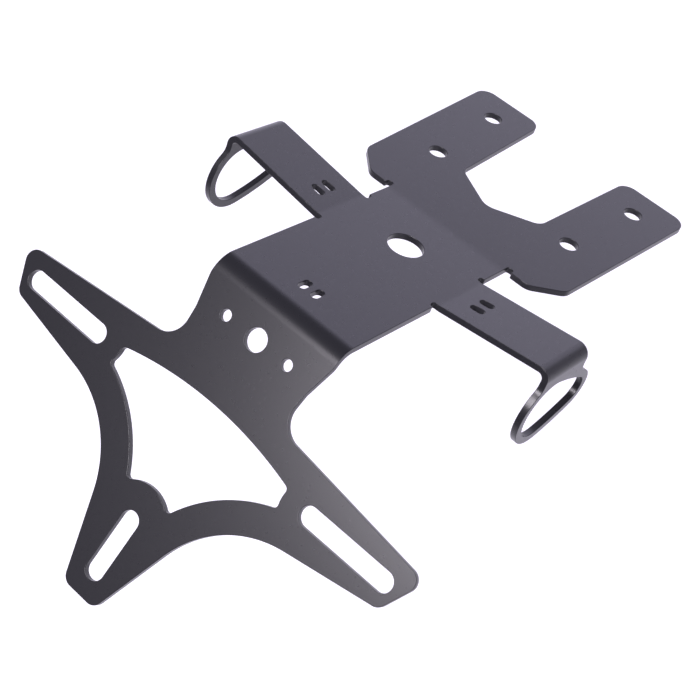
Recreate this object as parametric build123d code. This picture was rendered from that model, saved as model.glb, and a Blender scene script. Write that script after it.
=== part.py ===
import os
from math import cos, radians, sqrt, tan

from build123d import *

# Tail tidy for a motorcycle, cut and folded from one steel sheet and powder-coated.
# A forked plate bolts up under the tail. Behind it a deck carries the cable hole and
# two side arms, whose ends fold down into rings for the turn indicators. The deck's
# rear end folds down into the hanger that holds the number plate.
#
# Frame: the origin is the middle of the fork's rear pair of bolt holes, on the fork's
# top face, with X to the right, Y towards the fork tips and Z up. Sizes are in
# millimetres and turns in degrees, on the finished, coated part.
#
# Each panel is drawn on a plane of its own: origin on its fold line, y away from the
# fold, z out of the top face. A fold line is where the top faces of two panels would
# meet if the bend were sharp, and a bend's radius is that of its top face.

# Sheet and coating
steel_gauge = 2.0
coat_film = 0.1
edge_break = 0.2
same_length = 0.0001

# Fork: four bolts in two rows, on prongs that spread a little towards their tips
rear_row_from_fold = 32.9
row_pitch = 36.8
rear_row_spacing = 58.5
front_row_spacing = 64.4
fork_bolt_hole = 6.6
fork_length = 83.6
shoulder_width = 68.9
shoulder_depth = 10.9
fork_width_at_shoulder = 88.3
fork_width_at_tips = 94.1
gap_width_at_tips = 39.2
gap_width_at_throat = 34.4
gap_start = 32.5
throat_start = 23.2
fork_corner = 5.0
throat_round = 6.0

# Deck between the fork fold and the hanger fold
deck_rise = 3.73
fork_fold_radius = 50.0
deck_width = 50.0
deck_length = 80.3
cable_hole = 12.3
cable_hole_from_fold = 20.8
deck_ties_from_hanger_fold = 13.2

# Slots in pairs for cable ties, on the deck and on each arm
tie_slot_length = 5.2
tie_slot_width = 2.75
tie_slot_spacing = 5.12

# Relief cuts, where a bend ends beside a free edge
relief_width = 2.4
fork_relief_depth = 1.65
arm_relief_depth = 1.3
relief_round = 0.8
relief_corner = 0.45

# Side arms, folded up a little, with ends folded down square to the deck
arm_width = 22.9
arm_centre_from_fold = 24.0
arm_rise = 7.2
arm_root_radius = 12.0
ring_face_from_centre = 67.5
arm_end_radius = 4.0
arm_ties_from_centre = 34.0

# Indicator rings: a large and a small circle joined by bowed sides
ring_window_large = 10.4
ring_window_small = 5.4
ring_centres = 15.7
ring_large_from_arm_centre = 3.5
ring_drop = 18.4
ring_bow = 77.0
ring_rim = 2.8
ring_root_round = 4.2

# Hanger for the number plate, with the holes for the plate lamp near its fold
hanger_turn = 58.1
hanger_fold_radius = 8.4
lamp_hole = 7.5
lamp_screw_hole = 3.8
lamp_screw_spacing = 25.2
lamp_holes_from_fold = 13.3
cheek_length = 6.0
cheek_round = 8.0
waist_width = 45.1
waist_start = 16.8
neck_width = 43.4
neck_end = 28.8
neck_round = 7.6
wing_top_span = 166.9
wing_top = 35.4
wing_bottom_span = 153.9
wing_bottom = 49.7
wing_corner = 3.7
leg_width = 45.2
leg_start = 59.1
leg_round = 37.7
foot_width = 13.4
foot_corner = 3.8
hanger_length = 107.3

# Slots that the number plate bolts to
plate_slot_width = 6.6
wing_slot_length = 34.9
wing_slot_from_centre = 59.3
wing_slot_from_fold = 42.8
leg_slot_length = 25.0
leg_slot_from_fold = 88.9

# Window in the hanger, bounded by a bowed top edge and by rims round the slots
window_top = 36.1
window_bow = 138.0
wing_slot_rim = 6.95
leg_slot_rim = 9.15
leg_rim = 10.1
window_corner = 1.5

thickness = steel_gauge + 2 * coat_film
deck_side = deck_width / 2


def setback(turn, radius):
    # from a fold line to where its bend runs out into the flat
    return radius * tan(radians(abs(turn)) / 2)


def moved(plane, distance):
    return Plane(plane.location * Pos(0, distance, 0))


def folded(plane, turn):
    # the plane of the next panel, for a fold line on the x axis; a fold up is positive
    return Plane(plane.location * Rot(turn, 0, 0))


def flat(plane, outline):
    # a flat panel, its top face on the plane
    return extrude(plane * outline, -thickness)


def bend(plane, width, turn, radius):
    # the curved strip between two panels, for a fold line on the plane's x axis
    way = 1 if turn > 0 else -1
    start = moved(plane, -setback(turn, radius))
    section = Plane(start.origin, x_dir=start.x_dir, z_dir=-start.y_dir)
    strip = section * Pos(0, -thickness / 2) * Rectangle(width, thickness)
    centre = start.origin + start.z_dir * way * radius
    return revolve(strip, Axis(centre, start.x_dir * way), abs(turn))


def mirrored_outline(right_half):
    # closed outline from the corners of its right half, each (x, y, corner radius)
    left_half = [(-x, y, r) for x, y, r in reversed(right_half) if x > 0]
    corners = right_half + left_half
    points = [(x, y) for x, y, r in corners]
    return make_face(FilletPolyline(points, radius=[r for x, y, r in corners], close=True))


def pair(shape, spacing):
    return Pos(spacing / 2, 0) * shape + Pos(-spacing / 2, 0) * shape


def tie_slots():
    return pair(Rot(0, 0, 90) * SlotOverall(tie_slot_length, tie_slot_width), tie_slot_spacing)


def fork_outline(fold_end):
    relief_end = fold_end + fork_relief_depth
    relief_side = deck_side + relief_width
    outline = mirrored_outline([
        (deck_side, fold_end, 0),
        (deck_side, relief_end, relief_round),
        (relief_side, relief_end, relief_round),
        (relief_side, fold_end, relief_corner),
        (shoulder_width / 2, fold_end, fork_corner),
        (fork_width_at_shoulder / 2, shoulder_depth, fork_corner),
        (fork_width_at_tips / 2, fork_length, fork_corner),
        (gap_width_at_tips / 2, fork_length, fork_corner),
        (gap_width_at_throat / 2, gap_start, fork_corner),
        (0, throat_start, throat_round),
    ])
    hole = Circle(fork_bolt_hole / 2)
    outline -= Pos(0, rear_row_from_fold) * pair(hole, rear_row_spacing)
    outline -= Pos(0, rear_row_from_fold + row_pitch) * pair(hole, front_row_spacing)
    return outline


def deck_outline(start, end):
    relief_bottom = deck_side - arm_relief_depth
    arm_front = arm_centre_from_fold - arm_width / 2
    arm_rear = arm_centre_from_fold + arm_width / 2
    outline = mirrored_outline([
        (deck_side, start, 0),
        (deck_side, arm_front - relief_width, relief_corner),
        (relief_bottom, arm_front - relief_width, relief_round),
        (relief_bottom, arm_front, relief_round),
        (deck_side, arm_front, 0),
        (deck_side, arm_rear, 0),
        (relief_bottom, arm_rear, relief_round),
        (relief_bottom, arm_rear + relief_width, relief_round),
        (deck_side, arm_rear + relief_width, relief_corner),
        (deck_side, end, 0),
    ])
    outline -= Pos(0, cable_hole_from_fold) * Circle(cable_hole / 2)
    outline -= Pos(0, deck_length - deck_ties_from_hanger_fold) * tie_slots()
    return outline


def hanger_window(outline):
    # its lower edges run round the centres of the large arcs between wings and leg
    leg_arc = outline.edges().filter_by(GeomType.CIRCLE).sort_by(SortBy.RADIUS)[-1]
    wing_end = wing_slot_from_centre - (wing_slot_length - plate_slot_width) / 2
    leg_end = leg_slot_from_fold - (leg_slot_length - plate_slot_width) / 2
    wing_disc = Circle(plate_slot_width / 2 + wing_slot_rim)
    window = Pos(0, window_top + window_bow) * Circle(window_bow)
    window &= Pos(0, leg_end / 2) * Rectangle(2 * wing_end, leg_end)
    window -= Pos(0, wing_slot_from_fold) * pair(wing_disc, 2 * wing_end)
    window -= Pos(0, leg_arc.arc_center.Y) * pair(Circle(leg_round + leg_rim), 2 * leg_arc.arc_center.X)
    window -= Pos(0, leg_end) * Circle(plate_slot_width / 2 + leg_slot_rim)
    return fillet(window.vertices(), window_corner)


def hanger_outline(fold_end):
    outline = mirrored_outline([
        (deck_side, fold_end, 0),
        (deck_side, cheek_length, cheek_round),
        (waist_width / 2, waist_start, cheek_round),
        (neck_width / 2, neck_end, neck_round),
        (wing_top_span / 2, wing_top, wing_corner),
        (wing_bottom_span / 2, wing_bottom, wing_corner),
        (leg_width / 2, leg_start, leg_round),
        (foot_width / 2, hanger_length, foot_corner),
    ])
    wing_slot = SlotOverall(wing_slot_length, plate_slot_width)
    leg_slot = Rot(0, 0, 90) * SlotOverall(leg_slot_length, plate_slot_width)
    outline -= hanger_window(outline)
    outline -= Pos(0, wing_slot_from_fold) * pair(wing_slot, 2 * wing_slot_from_centre)
    outline -= Pos(0, leg_slot_from_fold) * leg_slot
    outline -= Pos(0, lamp_holes_from_fold) * Circle(lamp_hole / 2)
    outline -= Pos(0, lamp_holes_from_fold) * pair(Circle(lamp_screw_hole / 2), lamp_screw_spacing)
    return outline


def egg(large, small, bow):
    # two circles joined by arcs that bow outwards and touch both; the large circle's
    # centre is the origin and the small one's lies on the x axis
    small_centre = Vector(ring_centres, 0)
    x = ((bow - large) ** 2 - (bow - small) ** 2 + ring_centres**2) / (2 * ring_centres)
    bow_centre = Vector(x, -sqrt((bow - large) ** 2 - x**2))
    start = bow_centre.normalized() * -large
    end = small_centre + (small_centre - bow_centre).normalized() * small
    middle = bow_centre + (start + end - bow_centre * 2).normalized() * bow
    side = ThreePointArc(start, middle, end)
    nose = ThreePointArc(end, (ring_centres + small, 0), (end.X, -end.Y))
    tail = ThreePointArc((start.X, -start.Y), (-large, 0), start)
    return make_face([side, nose, mirror(side, Plane.XZ), tail])


def ring_outline(fold_end):
    # the ring hangs from the arm's width, with its small end towards the fork
    place = Pos(ring_large_from_arm_centre, ring_drop) * Rot(0, 0, 180)
    ring = place * egg(ring_window_large + ring_rim, ring_window_small + ring_rim, ring_bow + ring_rim)
    ring += Pos(0, (fold_end + ring_drop) / 2) * Rectangle(arm_width, ring_drop - fold_end)
    on_arm_sides = ring.vertices().filter_by(lambda v: abs(abs(v.X) - arm_width / 2) < same_length)
    ring = fillet(on_arm_sides.sort_by(Axis.Y)[2:], ring_root_round)
    return ring - place * egg(ring_window_large, ring_window_small, ring_bow)


def right_arm(deck_plane):
    # its panels' y points outwards and their x to the rear
    centre = deck_plane.from_local_coords((0, arm_centre_from_fold, 0))
    across = Plane(centre, x_dir=deck_plane.y_dir, z_dir=deck_plane.z_dir)
    root_fold = deck_side + setback(arm_rise, arm_root_radius)
    root_plane = moved(across, root_fold)
    arm_plane = folded(root_plane, arm_rise)

    end_turn = -(90 + arm_rise)
    end_fold = (ring_face_from_centre - root_fold) / cos(radians(arm_rise))
    end_plane = moved(arm_plane, end_fold)
    ring_plane = folded(end_plane, end_turn)

    start = setback(arm_rise, arm_root_radius)
    end = end_fold - setback(end_turn, arm_end_radius)
    ties = (arm_ties_from_centre - root_fold) / cos(radians(arm_rise))
    outline = Pos(0, (start + end) / 2) * Rectangle(arm_width, end - start)
    outline -= Pos(0, ties) * tie_slots()

    arm = bend(root_plane, arm_width, arm_rise, arm_root_radius)
    arm += flat(arm_plane, outline)
    arm += bend(end_plane, arm_width, end_turn, arm_end_radius)
    arm += flat(ring_plane, ring_outline(setback(end_turn, arm_end_radius)))
    return arm


def runs_across(edge):
    # an edge of a cut side that runs straight through the sheet
    return edge.geom_type == GeomType.LINE and abs(edge.length - thickness) < same_length


def deburred(solid):
    # breaks every rim between the sheet's two faces and its cut sides
    rims = ShapeList()
    for side in solid.faces().filter_by(lambda face: face.edges().filter_by(runs_across)):
        rims += side.edges().filter_by(lambda edge: not runs_across(edge))
    return chamfer(rims, edge_break)


def tail_tidy():
    fork_fold = Vector(0, -rear_row_from_fold, 0)
    fork_plane = Plane(fork_fold, x_dir=(1, 0, 0), z_dir=(0, 0, 1))
    rearward = Plane(fork_fold, x_dir=(-1, 0, 0), z_dir=(0, 0, 1))
    deck_plane = folded(rearward, deck_rise)
    deck_end = moved(deck_plane, deck_length)
    hanger_plane = folded(deck_end, -hanger_turn)
    fork_fold_end = setback(deck_rise, fork_fold_radius)
    hanger_fold_end = setback(hanger_turn, hanger_fold_radius)

    arm = right_arm(deck_plane)
    solid = flat(fork_plane, fork_outline(fork_fold_end))
    solid += bend(rearward, deck_width, deck_rise, fork_fold_radius)
    solid += flat(deck_plane, deck_outline(fork_fold_end, deck_length - hanger_fold_end))
    solid += bend(deck_end, deck_width, -hanger_turn, hanger_fold_radius)
    solid += flat(hanger_plane, hanger_outline(hanger_fold_end))
    solid += arm
    solid += mirror(arm, Plane.YZ)
    return deburred(solid)


os.makedirs("parts", exist_ok=True)
export_step(tail_tidy(), "parts/tail_tidy_plate.step")
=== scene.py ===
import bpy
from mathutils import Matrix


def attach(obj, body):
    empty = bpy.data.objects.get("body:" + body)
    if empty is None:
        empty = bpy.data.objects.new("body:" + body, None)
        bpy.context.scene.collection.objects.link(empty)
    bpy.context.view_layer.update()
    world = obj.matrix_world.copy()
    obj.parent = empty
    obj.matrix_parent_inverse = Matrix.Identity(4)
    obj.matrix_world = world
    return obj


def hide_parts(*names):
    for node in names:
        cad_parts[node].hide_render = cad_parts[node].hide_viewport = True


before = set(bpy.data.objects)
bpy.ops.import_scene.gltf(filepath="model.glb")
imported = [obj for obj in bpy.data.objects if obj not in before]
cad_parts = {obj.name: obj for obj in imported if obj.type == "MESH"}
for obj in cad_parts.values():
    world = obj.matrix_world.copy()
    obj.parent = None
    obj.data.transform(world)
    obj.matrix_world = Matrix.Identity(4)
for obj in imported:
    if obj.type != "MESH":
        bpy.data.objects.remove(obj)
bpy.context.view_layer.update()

from math import acos, atan2, ceil, cos, radians, sin, sqrt, tan, tau

import bmesh
import bpy
from mathutils import Quaternion, Vector

mm = 0.001
print("frame loaded")


# Shared helpers

def linearColor(hexCode):  # sRGB hex to the linear colour that shaders take
    channels = [int(hexCode[i:i + 2], 16) / 255 for i in (1, 3, 5)]
    return [c / 12.92 if c <= 0.04045 else ((c + 0.055) / 1.055) ** 2.4 for c in channels] + [1]


def addNode(tree, kind, settings=None, links=None):
    # links gives each input by name or number: a socket to join, or a plain value
    node = tree.nodes.new(kind)
    for name, value in (settings or {}).items():
        setattr(node, name, value)
    for name, value in (links or {}).items():
        if isinstance(value, bpy.types.NodeSocket):
            tree.links.new(value, node.inputs[name])
        else:
            node.inputs[name].default_value = value
    return node


def newMaterial(name):
    material = bpy.data.materials.new(name)
    material.use_nodes = True
    material.node_tree.nodes.clear()
    return material, material.node_tree


def addObject(name, data):  # a mesh, curve, light or camera into the scene
    made = bpy.data.objects.new(name, data)
    bpy.context.scene.collection.objects.link(made)
    return made


# Finish of the plate: polyester powder coat, satin black, sprayed and baked on steel.
# The baked film is smooth to the hand with a faint orange peel, pulls round over every
# cut edge, and its gloss is soft enough to blur a lamp into a broad sheen.
coat = {
    "color": "#1c1c1f",
    "speckColor": "#1d1d21",
    "roughness": 0.28,
    "roughnessSpread": 0.015,  # roughness goes up and down by this with the peel
    "ior": 1.5,
    "peelWidth": 1.1,          # mm between swells of the orange peel; about 0.7 on the real film
    "peelHeight": 0.0008,      # mm
    "peelDetail": 1.5,         # octaves of finer peel, each fainter by peelFade
    "peelFade": 0.4,
    "grainWidth": 0.35,        # mm, pigment grain; about 0.05 on the real film, too fine to show
    "grainDetail": 1.0,
}


def satinPowderCoat():
    material, tree = newMaterial("satinPowderCoat")
    place = addNode(tree, "ShaderNodeTexCoord").outputs["Object"]
    peel = addNode(tree, "ShaderNodeTexNoise", None, {
        "Vector": place, "Scale": 1 / (coat["peelWidth"] * mm),
        "Detail": coat["peelDetail"], "Roughness": coat["peelFade"]})
    grain = addNode(tree, "ShaderNodeTexNoise", None, {
        "Vector": place, "Scale": 1 / (coat["grainWidth"] * mm),
        "Detail": coat["grainDetail"]})
    color = addNode(tree, "ShaderNodeMix", {"data_type": "RGBA"}, {
        "Factor": grain.outputs[0],
        "A": linearColor(coat["color"]), "B": linearColor(coat["speckColor"])})
    rough = addNode(tree, "ShaderNodeMapRange", None, {
        "Value": peel.outputs[0],
        "To Min": coat["roughness"] - coat["roughnessSpread"],
        "To Max": coat["roughness"] + coat["roughnessSpread"]})
    bump = addNode(tree, "ShaderNodeBump", None, {
        "Strength": 1.0, "Distance": coat["peelHeight"] * mm, "Height": peel.outputs[0]})
    shader = addNode(tree, "ShaderNodeBsdfPrincipled", None, {
        "Base Color": color.outputs["Result"], "Roughness": rough.outputs["Result"],
        "IOR": coat["ior"], "Normal": bump.outputs["Normal"]})
    addNode(tree, "ShaderNodeOutputMaterial", None, {"Surface": shader.outputs["BSDF"]})
    return material


powderCoat = satinPowderCoat()
print("coat made")


# The plate: one blank cut from sheet, its rims rounded by the coat, then folded.
# Sizes in mm, turns in degrees with up positive, all on the sheet's coated top face.
# A panel's own y runs away from its fold line, where sharp-folded faces would meet.
plate = {
    "sheet": {
        "thickness": 2.2, "rimRound": 0.2, "rimSteps": 3,
        "arcSag": 0.006,     # how far a straight step may leave its arc
        "bendStep": 5.0,     # degrees at most between two cuts across a bend
        "weld": 0.001,       # corners as close as this become one
        "slim": 0.002,       # edges as short as this go
        "coatProbe": 0.05,   # a point this far off the surface shows how a bend turns the coat
    },
    "fork": {
        "rearRowFromFold": 32.9, "rowPitch": 36.8, "rearRow": 58.5, "frontRow": 64.4,
        "boltHole": 6.6, "length": 83.6, "shoulderWidth": 68.9, "shoulderDepth": 10.9,
        "widthAtShoulder": 88.3, "widthAtTips": 94.1, "gapAtTips": 39.2, "gapAtThroat": 34.4,
        "gapStart": 32.5, "throatStart": 23.2, "corner": 5.0, "throatRound": 6.0,
    },
    "deck": {
        "turn": 3.73, "foldRadius": 50.0, "width": 50.0, "length": 80.3,
        "cableHole": 12.3, "cableHoleFromFold": 20.8, "tiesFromEnd": 13.2,
    },
    "ties": {"length": 5.2, "width": 2.75, "spacing": 5.12},
    "relief": {"width": 2.4, "forkDepth": 1.65, "armDepth": 1.3, "round": 0.8, "corner": 0.45},
    "arm": {
        "width": 22.9, "fromFold": 24.0, "turn": 7.2, "foldRadius": 12.0, "ringFace": 67.5,
        "endRadius": 4.0, "tiesFromCentre": 34.0,
    },
    "ring": {
        "large": 10.4, "small": 5.4, "centres": 15.7, "largeFromArm": 3.5, "drop": 18.4,
        "bow": 77.0, "rim": 2.8, "rootRound": 4.2,
    },
    "hanger": {
        "turn": -58.1, "foldRadius": 8.4, "lampHole": 7.5, "lampScrewHole": 3.8,
        "lampScrews": 25.2, "lampFromFold": 13.3, "cheekLength": 6.0, "cheekRound": 8.0,
        "waistWidth": 45.1, "waistStart": 16.8, "neckWidth": 43.4, "neckEnd": 28.8,
        "neckRound": 7.6, "wingTopSpan": 166.9, "wingTop": 35.4, "wingBottomSpan": 153.9,
        "wingBottom": 49.7, "wingCorner": 3.7, "legWidth": 45.2, "legStart": 59.1,
        "legRound": 37.7, "footWidth": 13.4, "footCorner": 3.8, "length": 107.3,
    },
    "slots": {
        "width": 6.6, "wingLength": 34.9, "wingFromCentre": 59.3, "wingFromFold": 42.8,
        "legLength": 25.0, "legFromFold": 88.9,
    },
    "window": {
        "top": 36.1, "bow": 138.0, "wingRim": 6.95, "footRim": 9.15, "legRim": 10.1,
        "corner": 1.5,
    },
}


def arcPoints(centre, start, end, way):  # way is 1 for anticlockwise, -1 for clockwise
    radius = (start - centre).length
    first, last = [atan2(p.y - centre.y, p.x - centre.x) for p in (start, end)]
    turn = (last - first) * way % tau or tau
    steps = max(2, ceil(turn / (2 * acos(1 - plate["sheet"]["arcSag"] / radius))))
    angles = [first + way * turn * i / steps for i in range(steps + 1)]
    return [centre + radius * Vector((cos(a), sin(a))) for a in angles]


def circle(x, y, width):
    side = Vector((x + width / 2, y))
    return arcPoints(Vector((x, y)), side, side, 1)[1:]


def slot(x, y, length, width, upright=False):
    reach, half = (length - width) / 2, width / 2
    out, side = Vector((reach, 0)), Vector((0, half))
    points = arcPoints(out, out - side, out + side, 1) + arcPoints(-out, side - out, -out - side, 1)
    return [Vector((x, y)) + (Vector((-p.y, p.x)) if upright else p) for p in points]


def cornerArc(before, corner, after, radius):
    toBefore, toAfter = (before - corner).normalized(), (after - corner).normalized()
    half = toBefore.angle(toAfter) / 2
    centre = corner + (toBefore + toAfter).normalized() * radius / sin(half)
    start, end = [corner + way * radius / tan(half) for way in (toBefore, toAfter)]
    return centre, arcPoints(centre, start, end, 1 if toAfter.cross(toBefore) > 0 else -1)


def touching(a, b):  # where two circles (centre, radius, way) touch
    big, small = (a, b) if a[1] > b[1] else (b, a)
    return big[0] + (small[0] - big[0]).normalized() * big[1]


def throughArcs(circles, start, end):
    # an outline that goes round each circle in turn and passes on where two touch
    stops = [start] + [touching(a, b) for a, b in zip(circles, circles[1:])] + [end]
    points = [start]
    for (centre, _, way), here, there in zip(circles, stops, stops[1:]):
        points += arcPoints(centre, here, there, way)[1:]
    return points


def roundTheCorners(circles, radius, middle):
    # closed outline along circles that cross, seen from its middle, with rounded corners
    stops = []
    for a, b in zip(circles, circles[1:] + circles[:1]):
        (p, r), (q, s) = [(centre, size - way * radius) for centre, size, way in (a, b)]
        reach = (q - p).length
        along = (reach**2 + r**2 - s**2) / (2 * reach)
        beside = sqrt(r**2 - along**2)
        line = (q - p) / reach
        options = [p + line * along + Vector((-line.y, line.x)) * way * beside for way in (1, -1)]
        stops += [a, (min(options, key=lambda option: (option - middle).length), radius, 1)]
    seam = touching(stops[-1], stops[0])
    return throughArcs(stops, seam, seam)[1:]


def outline(stops):
    # closed outline, each stop a corner (x, y, radius) or a run of points
    ends = [(s[0], s[-1]) if isinstance(s, list) else (Vector(s[:2]), Vector(s[:2])) for s in stops]
    points = []
    for i, stop in enumerate(stops):
        if isinstance(stop, list):
            points += stop
        else:
            after = ends[(i + 1) % len(stops)][0]
            points += cornerArc(ends[i - 1][1], ends[i][0], after, stop[2])[1]
    return points


def mirrored(stops):
    left = []
    for stop in reversed(stops):
        if isinstance(stop, list):
            left.append([Vector((-p.x, p.y)) for p in reversed(stop)])
        elif stop[0] > 0:
            left.append((-stop[0], *stop[1:]))
    return stops + left


def setback(turn, radius):  # from a fold line to the end of its bend
    return radius * tan(radians(abs(turn)) / 2)


def bendLength(turn, radius):
    return radius * radians(abs(turn))


def blankLayout():
    # where the fold lines fall on the blank, and where each bend starts there
    fork, deck, arm, hanger = [plate[name] for name in ("fork", "deck", "arm", "hanger")]
    bends = {
        "fork": (deck["turn"], deck["foldRadius"]),
        "hanger": (hanger["turn"], hanger["foldRadius"]),
        "armRoot": (arm["turn"], arm["foldRadius"]),
        "armEnd": (-90 - arm["turn"], arm["endRadius"]),  # so the ring hangs straight down
    }
    back = {name: setback(*bend) for name, bend in bends.items()}
    spare = {name: 2 * back[name] - bendLength(*bend) for name, bend in bends.items()}
    rootLine = deck["width"] / 2 + back["armRoot"]
    armReach = (arm["ringFace"] - rootLine) / cos(radians(arm["turn"]))
    tiesReach = (arm["tiesFromCentre"] - rootLine) / cos(radians(arm["turn"]))
    forkLine = -fork["rearRowFromFold"]
    deckLine = forkLine + spare["fork"]
    hangerLine = deckLine - deck["length"] + spare["hanger"]
    ringLine = rootLine - spare["armRoot"] + armReach - spare["armEnd"]
    return {
        "bends": bends, "forkLine": forkLine, "deckLine": deckLine, "hangerLine": hangerLine,
        "armLine": deckLine - arm["fromFold"], "ringLine": ringLine,
        "armTies": rootLine - spare["armRoot"] + tiesReach,
        "starts": {
            "fork": -forkLine - back["fork"],
            "hanger": -deckLine + deck["length"] - back["hanger"],
            "armRoot": deck["width"] / 2,
            "armEnd": rootLine - spare["armRoot"] + armReach - back["armEnd"],
        },
        "forkEnd": back["fork"],
    }


layout = blankLayout()


def eggCircles(large, small, bow):
    # two circles joined by bowed sides that touch both, the small one towards the fork
    ring = plate["ring"]
    middle = Vector((ring["largeFromArm"], ring["drop"]))
    aside = ((bow - large)**2 - (bow - small)**2 + ring["centres"]**2) / (2 * ring["centres"])
    beside = Vector((0, sqrt((bow - large)**2 - aside**2)))
    bowMiddle = middle - Vector((aside, 0))
    return [(middle, large, -1), (bowMiddle + beside, bow, -1),
            (middle - Vector((ring["centres"], 0)), small, -1), (bowMiddle - beside, bow, -1)]


def ringEdge():
    # from the arm's front side round the ring to its rear side, x to the rear
    ring, side = plate["ring"], plate["arm"]["width"] / 2
    large, inner, small, outer = eggCircles(
        *[ring[name] + ring["rim"] for name in ("large", "small", "bow")])
    roots = []
    for way, (centre, radius, _) in ((-1, inner), (1, large)):
        x = way * (side + ring["rootRound"])
        y = centre.y - sqrt((radius + ring["rootRound"])**2 - (x - centre.x)**2)
        roots.append((Vector((x, y)), ring["rootRound"], 1))
    start, end = [Vector((way * side, root[0].y)) for way, root in zip((-1, 1), roots)]
    return throughArcs([roots[0], inner, small, outer, large, roots[1]], start, end)


def onRing(points):
    return [Vector((layout["ringLine"] + p.y, layout["armLine"] - p.x)) for p in points]


def onHanger(points):
    return [Vector((p.x, layout["hangerLine"] - p.y)) for p in points]


def hangerSide():
    hanger = plate["hanger"]
    return [
        (plate["deck"]["width"] / 2, hanger["cheekLength"], hanger["cheekRound"]),
        (hanger["waistWidth"] / 2, hanger["waistStart"], hanger["cheekRound"]),
        (hanger["neckWidth"] / 2, hanger["neckEnd"], hanger["neckRound"]),
        (hanger["wingTopSpan"] / 2, hanger["wingTop"], hanger["wingCorner"]),
        (hanger["wingBottomSpan"] / 2, hanger["wingBottom"], hanger["wingCorner"]),
        (hanger["legWidth"] / 2, hanger["legStart"], hanger["legRound"]),
        (hanger["footWidth"] / 2, hanger["length"], hanger["footCorner"]),
    ]


def blankOutline():
    fork, relief, side = plate["fork"], plate["relief"], plate["deck"]["width"] / 2
    line, armLine, half = layout["forkLine"], layout["armLine"], plate["arm"]["width"] / 2
    front = [
        (0, fork["throatStart"], fork["throatRound"]),
        (fork["gapAtThroat"] / 2, fork["gapStart"], fork["corner"]),
        (fork["gapAtTips"] / 2, fork["length"], fork["corner"]),
        (fork["widthAtTips"] / 2, fork["length"], fork["corner"]),
        (fork["widthAtShoulder"] / 2, fork["shoulderDepth"], fork["corner"]),
        (fork["shoulderWidth"] / 2, layout["forkEnd"], fork["corner"]),
        (side + relief["width"], layout["forkEnd"], relief["corner"]),
        (side + relief["width"], layout["forkEnd"] + relief["forkDepth"], relief["round"]),
        (side, layout["forkEnd"] + relief["forkDepth"], relief["round"]),
    ]
    armRelief = [
        (side, half + relief["width"], relief["corner"]),
        (side - relief["armDepth"], half + relief["width"], relief["round"]),
        (side - relief["armDepth"], half, relief["round"]),
    ]
    right = [(x, line + y, r) for x, y, r in front]
    right += [(x, armLine + y, r) for x, y, r in armRelief]
    right.append(onRing(ringEdge()))
    right += [(x, armLine - y, r) for x, y, r in reversed(armRelief)]
    right += [(x, layout["hangerLine"] - y, r) for x, y, r in hangerSide()]
    return outline(mirrored(right))


def hangerWindow():
    # bounded by a bowed top edge and by rims round the slots and the big leg arcs
    slots, window, hanger = plate["slots"], plate["window"], plate["hanger"]
    corners = [Vector(stop[:2]) for stop in hangerSide()[-3:]]
    legCentre = cornerArc(*corners, hanger["legRound"])[0]
    wingEnd = slots["wingFromCentre"] - (slots["wingLength"] - slots["width"]) / 2
    legEnd = slots["legFromFold"] - (slots["legLength"] - slots["width"]) / 2
    wingRim, footRim = [slots["width"] / 2 + window[name] for name in ("wingRim", "footRim")]
    legRim = hanger["legRound"] + window["legRim"]
    circles = [
        (Vector((0, window["top"] + window["bow"])), window["bow"], 1),
        (Vector((wingEnd, slots["wingFromFold"])), wingRim, -1),
        (legCentre, legRim, -1),
        (Vector((0, legEnd)), footRim, -1),
        (Vector((-legCentre.x, legCentre.y)), legRim, -1),
        (Vector((-wingEnd, slots["wingFromFold"])), wingRim, -1),
    ]
    return roundTheCorners(circles, window["corner"], Vector((0, (window["top"] + legEnd) / 2)))


def blankHoles():
    fork, deck, hanger, slots = [plate[name] for name in ("fork", "deck", "hanger", "slots")]
    ties, ring = plate["ties"], plate["ring"]
    holes = [circle(0, layout["deckLine"] - deck["cableHoleFromFold"], deck["cableHole"])]
    holes.append(onHanger(hangerWindow()))
    holes.append(onHanger(circle(0, hanger["lampFromFold"], hanger["lampHole"])))
    holes.append(onHanger(slot(0, slots["legFromFold"], slots["legLength"], slots["width"], True)))
    egg = eggCircles(ring["large"], ring["small"], ring["bow"])
    seam = touching(egg[-1], egg[0])
    ringWindow = onRing(throughArcs(egg, seam, seam)[1:])
    holes += [ringWindow, [Vector((-p.x, p.y)) for p in ringWindow]]
    for side in (-1, 1):
        for row, spread in ((0, fork["rearRow"]), (fork["rowPitch"], fork["frontRow"])):
            holes.append(circle(side * spread / 2, row, fork["boltHole"]))
        screwPlace = (side * hanger["lampScrews"] / 2, hanger["lampFromFold"])
        holes.append(onHanger(circle(*screwPlace, hanger["lampScrewHole"])))
        wingPlace = (side * slots["wingFromCentre"], slots["wingFromFold"])
        holes.append(onHanger(slot(*wingPlace, slots["wingLength"], slots["width"])))
        tiesLine = layout["deckLine"] - deck["length"] + deck["tiesFromEnd"]
        holes.append(slot(side * ties["spacing"] / 2, tiesLine, ties["length"], ties["width"], True))
        for step in (-1, 1):
            place = (side * layout["armTies"], layout["armLine"] + step * ties["spacing"] / 2)
            holes.append(slot(*place, ties["length"], ties["width"]))
    return holes


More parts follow.
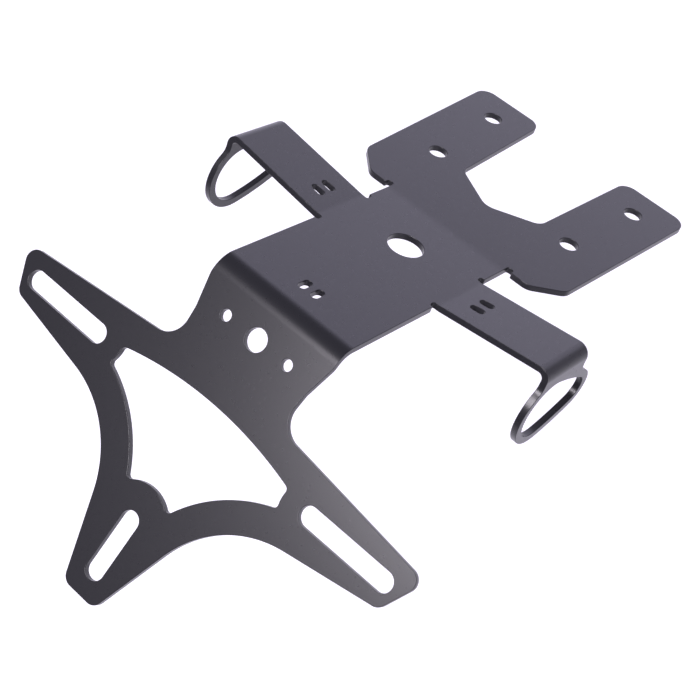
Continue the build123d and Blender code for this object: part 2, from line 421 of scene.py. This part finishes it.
def cutBlank():
    # filled outlines drawn out to the sheet's thickness, with the rims rounded inwards
    sheet = plate["sheet"]
    curve = bpy.data.curves.new("blank", "CURVE")
    curve.dimensions = "2D"
    curve.fill_mode = "BOTH"
    curve.extrude = (sheet["thickness"] / 2 - sheet["rimRound"]) * mm
    curve.bevel_depth = sheet["rimRound"] * mm
    curve.bevel_resolution = sheet["rimSteps"] - 1  # Blender counts the cuts between the steps
    curve.offset = -sheet["rimRound"] * mm
    for loop in [blankOutline(), *blankHoles()]:
        line = curve.splines.new("POLY")
        line.points.add(len(loop) - 1)
        line.points.foreach_set("co", [c for p in loop for c in (p.x * mm, p.y * mm, 0, 1)])
        line.use_cyclic_u = True
    drawn = addObject("blank", curve)
    built = bpy.context.evaluated_depsgraph_get()
    mesh = bpy.data.meshes.new_from_object(drawn.evaluated_get(built))
    bpy.data.objects.remove(drawn)
    return mesh


def foldBand():  # the arms and rings lie between the fork's bend and the hanger's
    turn, radius = layout["bends"]["fork"]
    return layout["starts"]["fork"] + bendLength(turn, radius), layout["starts"]["hanger"]


def scoreBends(sheet):
    # cuts the blank's faces across every bend, so that they can follow it
    rearward, sideways = [Vector((0, -1, 0))], [Vector((1, 0, 0)), Vector((-1, 0, 0))]
    bendWays = {"fork": rearward, "hanger": rearward, "armRoot": sideways, "armEnd": sideways}
    bandStart, bandEnd = foldBand()
    for name, ways in bendWays.items():
        turn, radius = layout["bends"][name]
        steps = ceil(abs(turn) / plate["sheet"]["bendStep"])
        for i in range(steps + 1):
            distance = layout["starts"][name] + bendLength(turn, radius) * i / steps
            for way in ways:
                faces = sheet.faces[:]
                if ways is sideways:
                    faces = [f for f in faces if bandStart < -f.calc_center_median().y / mm < bandEnd]
                edges = {edge for face in faces for edge in face.edges}
                corners = {corner for face in faces for corner in face.verts}
                bmesh.ops.bisect_plane(
                    sheet, geom=[*faces, *edges, *corners], dist=plate["sheet"]["weld"] * mm,
                    plane_co=way * distance * mm, plane_no=way)


def faceTheCoat(sheet):
    # which way the coat faces: up, down, out of a cut side, or in between on a rim
    flatHalf = plate["sheet"]["thickness"] / 2 - plate["sheet"]["rimRound"]
    layer = sheet.verts.layers.float_vector.new("coatNormal")
    sheet.normal_update()
    for corner in sheet.verts:
        height = corner.co.z / mm
        rise = min(1, max(0, abs(height) - flatHalf) / plate["sheet"]["rimRound"])
        out = Vector((corner.normal.x, corner.normal.y, 0)).normalized()
        up = Vector((0, 0, 1 if height > 0 else -1))
        corner[layer] = out * sqrt(1 - rise * rise) + up * rise


# One bend, step by step: what lies past its start line is carried round it.
bendSteps = [
    ("way", "SIGN", "Turn"),
    ("turned", "ABSOLUTE", "Turn"),
    ("bend", "MULTIPLY", "Radius", "turned"),
    ("past", "SUBTRACT", "Distance", "Start"),
    ("before", "MINIMUM", "past", 0.0),
    ("within", "MAXIMUM", "past", 0.0),
    ("inBend", "MINIMUM", "within", "bend"),
    ("beyond", "SUBTRACT", "within", "inBend"),
    ("angle", "DIVIDE", "inBend", "Radius"),
    ("sine", "SINE", "angle"),
    ("cosine", "COSINE", "angle"),
    ("lift", "MULTIPLY", "way", "Height"),
    ("reach", "SUBTRACT", "Radius", "lift"),
    ("start", "ADD", "Start", "before"),
    ("along", "MULTIPLY_ADD", "reach", "sine", "start"),
    ("Distance", "MULTIPLY_ADD", "beyond", "cosine", "along"),
    ("drop", "MULTIPLY", "reach", "cosine"),
    ("gain", "SUBTRACT", "Radius", "drop"),
    ("climb", "MULTIPLY_ADD", "beyond", "sine", "gain"),
    ("Height", "MULTIPLY", "way", "climb"),
]


def bendTree():
    tree = bpy.data.node_groups.new("bendBeyond", "GeometryNodeTree")
    for name in ("Distance", "Height", "Start", "Radius", "Turn"):
        tree.interface.new_socket(name, in_out="INPUT", socket_type="NodeSocketFloat")
    for name in ("Distance", "Height"):
        tree.interface.new_socket(name, in_out="OUTPUT", socket_type="NodeSocketFloat")
    given = addNode(tree, "NodeGroupInput").outputs
    values = {socket.name: socket for socket in given if socket.name}
    results = {}
    for name, operation, *sources in bendSteps:
        links = {i: values.get(source, source) for i, source in enumerate(sources)}
        made = addNode(tree, "ShaderNodeMath", {"operation": operation}, links).outputs[0]
        (results if name in ("Distance", "Height") else values)[name] = made
    addNode(tree, "NodeGroupOutput", None, results)
    return tree


def foldedPlace(tree, given, bend, place):
    # a place on the flat blank to its place on the folded plate, arms first
    flat = addNode(tree, "ShaderNodeSeparateXYZ", None, {0: place}).outputs
    side = addNode(tree, "ShaderNodeMath", {"operation": "SIGN"}, {0: flat["X"]}).outputs[0]
    out = addNode(tree, "ShaderNodeMath", {"operation": "ABSOLUTE"}, {0: flat["X"]}).outputs[0]
    back = addNode(tree, "ShaderNodeMath", {"operation": "MULTIPLY"}, {
        0: flat["Y"], 1: -1.0}).outputs[0]
    height = flat["Z"]
    for name in ("armEnd", "armRoot"):
        folded = addNode(tree, "GeometryNodeGroup", {"node_tree": bend}, {
            "Distance": out, "Height": height, "Start": given[name + " Start"],
            "Radius": given[name + " Radius"], "Turn": given[name + " Turn"]}).outputs
        out, height = folded["Distance"], folded["Height"]
    x = addNode(tree, "ShaderNodeMath", {"operation": "MULTIPLY"}, {0: side, 1: out}).outputs[0]
    after = addNode(tree, "ShaderNodeMath", {"operation": "GREATER_THAN"}, {
        0: back, 1: given["Arms From"]})
    before = addNode(tree, "ShaderNodeMath", {"operation": "LESS_THAN"}, {
        0: back, 1: given["Arms To"]})
    onArm = addNode(tree, "ShaderNodeMath", {"operation": "MULTIPLY"}, {
        0: after.outputs[0], 1: before.outputs[0]}).outputs[0]
    x = addNode(tree, "GeometryNodeSwitch", {"input_type": "FLOAT"}, {
        "Switch": onArm, "False": flat["X"], "True": x}).outputs[0]
    height = addNode(tree, "GeometryNodeSwitch", {"input_type": "FLOAT"}, {
        "Switch": onArm, "False": flat["Z"], "True": height}).outputs[0]
    for name in ("hanger", "fork"):
        folded = addNode(tree, "GeometryNodeGroup", {"node_tree": bend}, {
            "Distance": back, "Height": height, "Start": given[name + " Start"],
            "Radius": given[name + " Radius"], "Turn": given[name + " Turn"]}).outputs
        back, height = folded["Distance"], folded["Height"]
    y = addNode(tree, "ShaderNodeMath", {"operation": "MULTIPLY"}, {0: back, 1: -1.0}).outputs[0]
    return addNode(tree, "ShaderNodeCombineXYZ", None, {"X": x, "Y": y, "Z": height}).outputs[0]


def foldTree():
    tree = bpy.data.node_groups.new("foldSheet", "GeometryNodeTree")
    tree.interface.new_socket("Blank", in_out="INPUT", socket_type="NodeSocketGeometry")
    for name in foldSizes():
        tree.interface.new_socket(name, in_out="INPUT", socket_type="NodeSocketFloat")
    tree.interface.new_socket("Coat", in_out="INPUT", socket_type="NodeSocketMaterial")
    tree.interface.new_socket("Plate", in_out="OUTPUT", socket_type="NodeSocketGeometry")
    given = addNode(tree, "NodeGroupInput").outputs
    bend = bendTree()
    place = addNode(tree, "GeometryNodeInputPosition").outputs[0]
    facing = addNode(tree, "GeometryNodeInputNamedAttribute", {"data_type": "FLOAT_VECTOR"}, {
        "Name": "coatNormal"}).outputs[0]
    tip = addNode(tree, "ShaderNodeVectorMath", {"operation": "MULTIPLY_ADD"}, {
        0: facing, 1: given["Coat Probe"], 2: place}).outputs[0]
    foldedBase, foldedTip = [foldedPlace(tree, given, bend, p) for p in (place, tip)]
    turned = addNode(tree, "ShaderNodeVectorMath", {"operation": "SUBTRACT"}, {
        0: foldedTip, 1: foldedBase})
    facing = addNode(tree, "ShaderNodeVectorMath", {"operation": "NORMALIZE"}, {0: turned.outputs[0]})
    stored = addNode(tree, "GeometryNodeStoreNamedAttribute", {"data_type": "FLOAT_VECTOR"}, {
        "Geometry": given["Blank"], "Name": "coatNormal", "Value": facing.outputs[0]})
    moved = addNode(tree, "GeometryNodeSetPosition", None, {
        "Geometry": stored.outputs[0], "Position": foldedBase})
    real = addNode(tree, "GeometryNodeRealizeInstances", None, {0: moved.outputs[0]})
    coated = addNode(tree, "GeometryNodeSetMaterial", None, {
        "Geometry": real.outputs[0], "Material": given["Coat"]})
    addNode(tree, "NodeGroupOutput", None, {"Plate": coated.outputs[0]})
    return tree


def foldSizes():
    sizes = {}
    for name, (turn, radius) in layout["bends"].items():
        sizes[name + " Start"] = layout["starts"][name] * mm
        sizes[name + " Radius"] = radius * mm
        sizes[name + " Turn"] = radians(turn)
    sizes["Arms From"], sizes["Arms To"] = [distance * mm for distance in foldBand()]
    sizes["Coat Probe"] = plate["sheet"]["coatProbe"] * mm
    return sizes


def foldBlank(mesh):
    tree = foldTree()
    blank = addObject("blank", mesh)
    fold = blank.modifiers.new("foldSheet", "NODES")
    fold.node_group = tree
    values = {**foldSizes(), "Coat": powderCoat}
    for socket in tree.interface.items_tree:
        if socket.in_out == "INPUT" and socket.name in values:
            fold[socket.identifier] = values[socket.name]
    built = bpy.context.evaluated_depsgraph_get()
    folded = bpy.data.meshes.new_from_object(blank.evaluated_get(built))
    bpy.data.objects.remove(blank)
    return folded


def makePlate():
    mesh = cutBlank()
    sheet = bmesh.new()
    sheet.from_mesh(mesh)
    bmesh.ops.remove_doubles(sheet, verts=sheet.verts, dist=plate["sheet"]["weld"] * mm)
    scoreBends(sheet)
    bmesh.ops.dissolve_degenerate(sheet, dist=plate["sheet"]["slim"] * mm, edges=sheet.edges)
    faceTheCoat(sheet)
    bmesh.ops.translate(sheet, verts=sheet.verts, vec=(0, 0, -plate["sheet"]["thickness"] / 2 * mm))
    sheet.to_mesh(mesh)
    sheet.free()
    folded = foldBlank(mesh)
    facing = [0.0] * (3 * len(folded.vertices))
    folded.attributes["coatNormal"].data.foreach_get("vector", facing)
    folded.shade_smooth()
    folded.normals_split_custom_set_from_vertices(list(zip(facing[::3], facing[1::3], facing[2::3])))
    folded.attributes.remove(folded.attributes["coatNormal"])
    piece = addObject("coatedPlate", folded)
    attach(piece, "root")
    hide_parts("tail_tidy_plate")


makePlate()
print("plate cut and folded")


# Studio: a paper sweep that glows as painted light, one soft box on the camera's side, dim air.
# The camera looks from the hanger's side, so the sweep's wall stands past the fork.
studio = {
    "floorDrop": 0.30,        # m, paper below the origin
    "paperWidth": 6.0,        # m
    "frontReach": 0.35,       # m of paper on the camera's side of the origin
    "wallDistance": 1.30,     # m past the origin, where the wall stands
    "wallRound": 0.35,        # m, radius of the paper's turn from floor to wall
    "roundStep": 6,           # degrees of that turn for each strip of paper
    "wallTop": 2.60,          # m above the origin
    "topFrom": 1.15,          # m, where the wall starts to fade towards its top
    "paperColor": "#d8d8dc",
    "paperRoughness": 0.9,
    "floorLight": "#eeeaf6",  # colours of the glow
    "wallLight": "#e8e3ff",
    "floorGlow": 0.64,
    "sideGlow": 0.75,         # painted light, on the floor out of view to the right
    "sideFrom": 0.10,         # m, along x: the floor reaches the side's glow at sideTo
    "sideTo": 0.20,
    "sideNear": 0.08,         # m, along y: the side's painted light is dark up to sideNear, full from sideFar
    "sideFar": 0.22,
    "wallGlow": 1.22,
    "wallEnd": 0.2,           # on the wall far to the right
    "wallFrom": 0.10,         # m, along x: the wall fades to wallEnd between these two
    "wallTo": 0.60,
    "glowFrom": -0.30,        # m, along y: painted shade, dark up to glowFrom, full from glowTo
    "glowTo": 0.0,
    "airColor": "#ece7ff",
    "air": 0.25,              # strength
}

keyBox = {
    "turn": 0.8,              # degrees from straight past the hanger, towards the left arm
    "rise": 36.8,             # degrees above the horizon
    "distance": 1.2,          # m from the camera's target
    "width": 0.8,             # m
    "height": 0.62,           # m
    "watts": 25.0,
    "color": "#fbf5ff",
}

camera = {
    "position": (0.18228, -0.38985, 0.27665),  # m
    "target": (0.02496, -0.11050, 0.00506),
    "roll": 18.69,            # degrees about the line of sight
    "lens": 76.2,             # mm
    "sensorWidth": 36.0,      # mm
    "clipNear": 0.01,         # m
    "clipFar": 20.0,          # m
}


def glowingPaper():
    # the paper's glow is painted light: the floor's glow turns into the wall's as the paper rises,
    # and each fades off view
    material, tree = newMaterial("paperPaintedLight")
    fade = {"interpolation_type": "SMOOTHSTEP"}
    place = addNode(tree, "ShaderNodeTexCoord").outputs["Object"]
    spot = addNode(tree, "ShaderNodeSeparateXYZ", None, {0: place}).outputs
    # painted light: a bright patch of floor glow out of view to the right
    side = addNode(tree, "ShaderNodeMapRange", fade, {
        "Value": spot["Y"], "From Min": studio["sideNear"], "From Max": studio["sideFar"],
        "To Min": 0.0, "To Max": studio["sideGlow"]})
    floor = addNode(tree, "ShaderNodeMapRange", fade, {
        "Value": spot["X"], "From Min": studio["sideFrom"], "From Max": studio["sideTo"],
        "To Min": studio["floorGlow"], "To Max": side.outputs["Result"]})
    rise = addNode(tree, "ShaderNodeMapRange", fade, {
        "Value": spot["Z"], "From Min": -studio["floorDrop"], "From Max": studio["wallRound"]})
    wall = addNode(tree, "ShaderNodeMapRange", fade, {
        "Value": spot["X"], "From Min": studio["wallFrom"], "From Max": studio["wallTo"],
        "To Min": studio["wallGlow"], "To Max": studio["wallEnd"]})
    top = addNode(tree, "ShaderNodeMapRange", fade, {
        "Value": spot["Z"], "From Min": studio["topFrom"], "From Max": studio["wallTop"],
        "To Min": wall.outputs["Result"], "To Max": 0.0})
    full = addNode(tree, "ShaderNodeMix", None, {
        "Factor": rise.outputs["Result"], "A": floor.outputs["Result"], "B": top.outputs["Result"]})
    color = addNode(tree, "ShaderNodeMix", {"data_type": "RGBA"}, {
        "Factor": rise.outputs["Result"],
        "A": linearColor(studio["floorLight"]), "B": linearColor(studio["wallLight"])})
    # painted shade: the glow is dark on the camera's side and rises to full under the plate's deck
    glow = addNode(tree, "ShaderNodeMapRange", fade, {
        "Value": spot["Y"], "From Min": studio["glowFrom"], "From Max": studio["glowTo"],
        "To Min": 0.0, "To Max": full.outputs["Result"]})
    shader = addNode(tree, "ShaderNodeBsdfPrincipled", None, {
        "Base Color": linearColor(studio["paperColor"]), "Roughness": studio["paperRoughness"],
        "Specular IOR Level": 0.0,
        "Emission Color": color.outputs["Result"], "Emission Strength": glow.outputs["Result"]})
    addNode(tree, "ShaderNodeOutputMaterial", None, {"Surface": shader.outputs["BSDF"]})
    return material


def paperSweep():
    drop, bow, wall = studio["floorDrop"], studio["wallRound"], studio["wallDistance"]
    profile = [(-studio["frontReach"], -drop)]
    for turn in range(0, 91, studio["roundStep"]):
        angle = radians(turn)
        profile.append((wall - bow + bow * sin(angle), bow - drop - bow * cos(angle)))
    profile.append((wall, studio["wallTop"]))
    half = studio["paperWidth"] / 2
    corners = [(x, y, z) for y, z in profile for x in (-half, half)]
    faces = [(2 * i, 2 * i + 1, 2 * i + 3, 2 * i + 2) for i in range(len(profile) - 1)]
    mesh = bpy.data.meshes.new("paperSweep")
    mesh.from_pydata(corners, [], faces)
    mesh.shade_smooth()
    mesh.materials.append(glowingPaper())
    addObject("paperSweep", mesh)


def softBox(name, box):
    light = bpy.data.lights.new(name, "AREA")
    light.shape = "RECTANGLE"
    light.size, light.size_y = box["width"], box["height"]
    light.energy = box["watts"]
    light.color = linearColor(box["color"])[:3]
    lamp = addObject(name, light)
    turn, rise = radians(box["turn"]), radians(box["rise"])
    toBox = Vector((-sin(turn) * cos(rise), -cos(turn) * cos(rise), sin(rise)))
    lamp.location = Vector(camera["target"]) + toBox * box["distance"]
    lamp.rotation_euler = toBox.to_track_quat("Z", "Y").to_euler()


def studioAir():
    world = bpy.data.worlds.new("studioAir")
    world.use_nodes = True
    background = world.node_tree.nodes["Background"]
    background.inputs["Color"].default_value = linearColor(studio["airColor"])
    background.inputs["Strength"].default_value = studio["air"]
    bpy.context.scene.world = world


def placeCamera():
    lens = bpy.data.cameras.new("camera")
    lens.lens = camera["lens"]
    lens.sensor_width = camera["sensorWidth"]
    lens.clip_start, lens.clip_end = camera["clipNear"], camera["clipFar"]
    view = addObject("camera", lens)
    position, target = Vector(camera["position"]), Vector(camera["target"])
    view.rotation_mode = "QUATERNION"
    aim = (target - position).to_track_quat("-Z", "Y")
    view.location = position
    view.rotation_quaternion = aim @ Quaternion((0, 0, 1), radians(camera["roll"]))
    bpy.context.scene.camera = view


paperSweep()
softBox("keyBox", keyBox)
studioAir()
placeCamera()
bpy.context.scene.view_settings.view_transform = "Standard"
print("studio ready")
